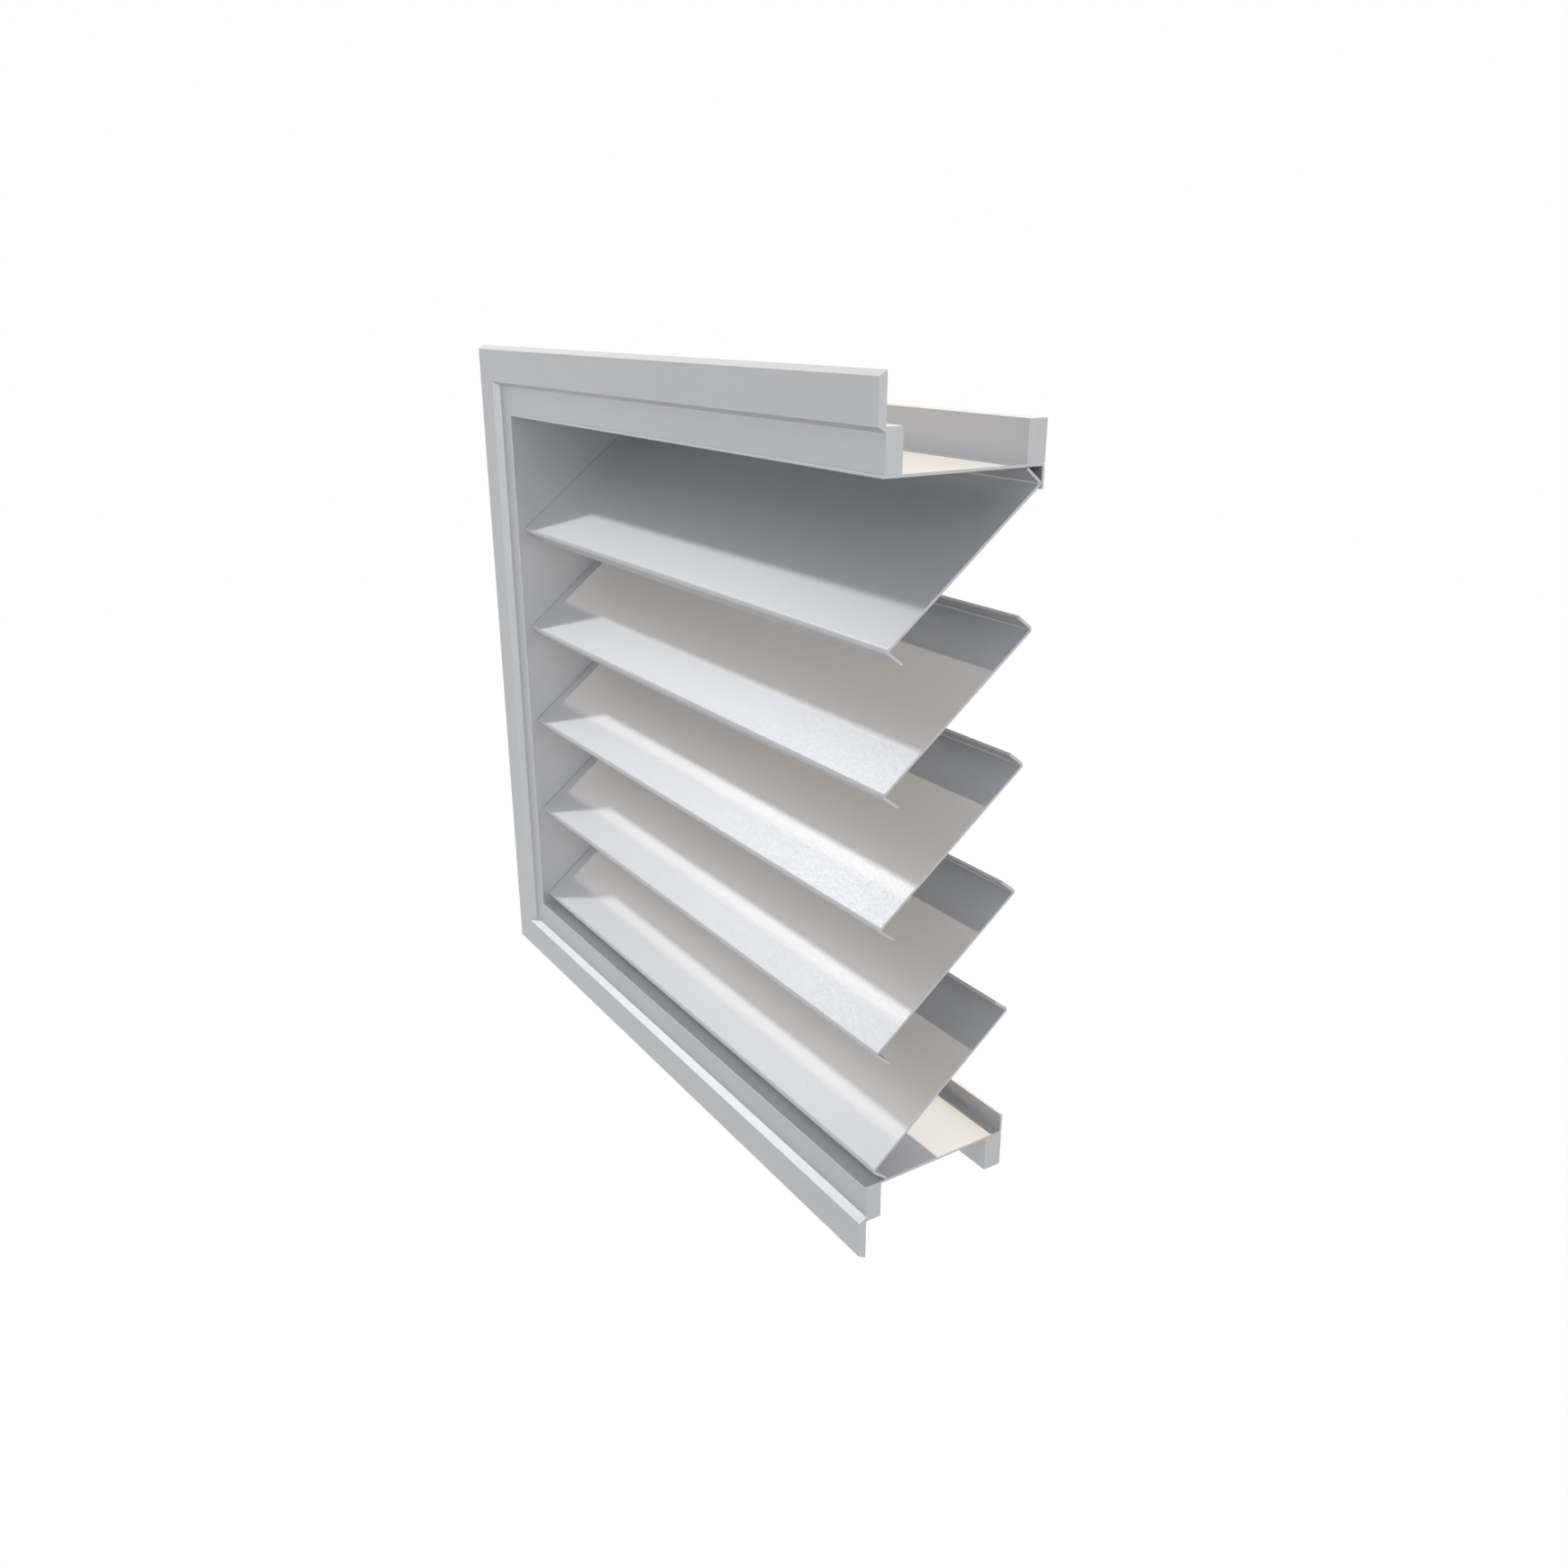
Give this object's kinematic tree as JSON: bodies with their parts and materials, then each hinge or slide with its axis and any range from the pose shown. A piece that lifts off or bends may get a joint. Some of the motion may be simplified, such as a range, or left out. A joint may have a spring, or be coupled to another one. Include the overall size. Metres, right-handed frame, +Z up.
{
  "type": "fixed-blade weather louvre, cut open at one end",
  "caption": "Fixed-blade weather louvre: flanged frame with mitred corners and sloping folded sheet blades, cut square at its right end.",
  "frame": {"origin": "on the back of the sill flange, in the middle of its length and of the strip that bears on the wall", "axes": "+X right along the blades, +Y into the wall away from the weather, +Z up"},
  "size_m": [0.498, 0.105, 0.4885],
  "materials": {
    "coated_profile": "matt light grey powder coat",
    "coated_casing_sheet": "matt light grey powder coat",
    "coated_blade_sheet": "matt light grey powder coat",
    "mill_fixings": "mill finish"
  },
  "bodies": {
    "root": {"sill_flange": "coated_profile", "sill_casing": "coated_casing_sheet", "sill_rear_bar": "coated_profile", "head_flange": "coated_profile", "head_casing": "coated_casing_sheet", "head_rear_bar": "coated_profile", "jamb_flange": "coated_profile", "jamb_casing": "coated_casing_sheet", "jamb_rear_bar": "coated_profile", "blade_1": "coated_blade_sheet", "blade_2": "coated_blade_sheet", "blade_3": "coated_blade_sheet", "blade_4": "coated_blade_sheet", "blade_5": "coated_blade_sheet", "end_angle_1": "mill_fixings", "end_angle_2": "mill_fixings", "end_angle_3": "mill_fixings", "end_angle_4": "mill_fixings", "end_angle_5": "mill_fixings", "lower_corner_cleat": "mill_fixings", "upper_corner_cleat": "mill_fixings"}
  },
  "joints": []
}
